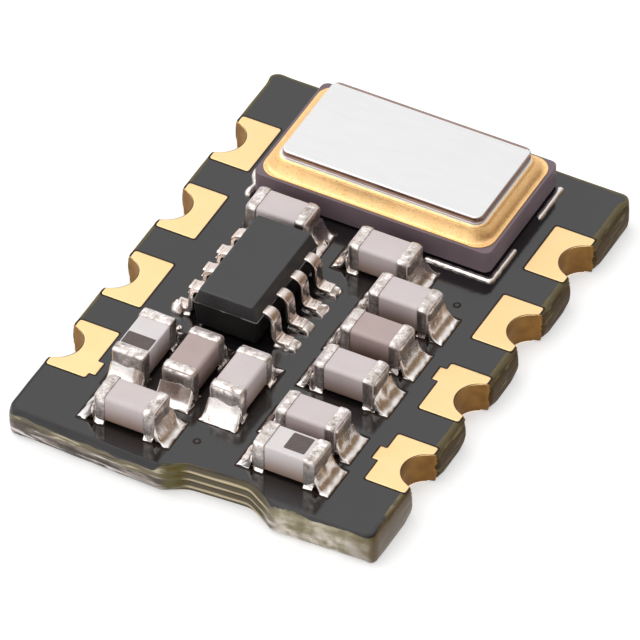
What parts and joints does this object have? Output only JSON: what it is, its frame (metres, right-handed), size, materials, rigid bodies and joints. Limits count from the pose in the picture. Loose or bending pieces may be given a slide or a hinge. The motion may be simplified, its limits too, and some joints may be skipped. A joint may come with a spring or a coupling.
{
  "type": "radio transmitter module",
  "caption": "Surface-mount radio transmitter board with half-round plated edge terminals, a lidded ceramic resonator, a gull-wing integrated circuit and chip components.",
  "frame": {"origin": "middle of the board's outline, on its underside", "axes": "+X across the board towards the right row of edge terminals, +Y along the board towards the resonator, +Z out of the component side"},
  "size_m": [0.009, 0.0126, 0.0019],
  "materials": {
    "board_laminate": "satin dark mask over glass-epoxy laminate",
    "gold_plating": "satin gold plating",
    "dark_ceramic": "matte dark alumina",
    "lid_metal": "pale satin plated lid",
    "crystal": "polished crystal plate",
    "moulding_compound": "fine matte moulded surface",
    "tinned_lead": "satin tin plating",
    "chip_ceramic": "semi-matte fired ceramic",
    "tinned_cap": "dull tin plating",
    "solder": "bright reflowed solder"
  },
  "bodies": {
    "root": {"board": "board_laminate", "chip_10_body": "chip_ceramic", "chip_10_end_caps": "tinned_cap", "chip_10_solder": "solder", "chip_11_body": "chip_ceramic", "chip_11_end_caps": "tinned_cap", "chip_11_solder": "solder", "chip_1_body": "chip_ceramic", "chip_1_end_caps": "tinned_cap", "chip_1_solder": "solder", "chip_2_body": "chip_ceramic", "chip_2_end_caps": "tinned_cap", "chip_2_solder": "solder", "chip_3_body": "chip_ceramic", "chip_3_end_caps": "tinned_cap", "chip_3_solder": "solder", "chip_4_body": "chip_ceramic", "chip_4_end_caps": "tinned_cap", "chip_4_solder": "solder", "chip_5_body": "chip_ceramic", "chip_5_end_caps": "tinned_cap", "chip_5_solder": "solder", "chip_6_body": "chip_ceramic", "chip_6_end_caps": "tinned_cap", "chip_6_solder": "solder", "chip_7_body": "chip_ceramic", "chip_7_end_caps": "tinned_cap", "chip_7_solder": "solder", "chip_8_body": "chip_ceramic", "chip_8_end_caps": "tinned_cap", "chip_8_solder": "solder", "chip_9_body": "chip_ceramic", "chip_9_end_caps": "tinned_cap", "chip_9_solder": "solder", "edge_terminal_1": "gold_plating", "edge_terminal_2": "gold_plating", "edge_terminal_3": "gold_plating", "edge_terminal_4": "gold_plating", "edge_terminal_5": "gold_plating", "edge_terminal_6": "gold_plating", "edge_terminal_7": "gold_plating", "edge_terminal_8": "gold_plating", "ic_body": "moulding_compound", "ic_lead_1": "tinned_lead", "ic_lead_2": "tinned_lead", "ic_lead_3": "tinned_lead", "ic_lead_4": "tinned_lead", "ic_lead_5": "tinned_lead", "ic_lead_6": "tinned_lead", "ic_lead_7": "tinned_lead", "ic_lead_8": "tinned_lead", "ic_solder": "solder", "resonator_base": "dark_ceramic", "resonator_lid": "lid_metal", "resonator_plate": "crystal", "resonator_rim_plating": "gold_plating", "resonator_seal_ring": "gold_plating", "resonator_solder": "solder"}
  },
  "joints": []
}
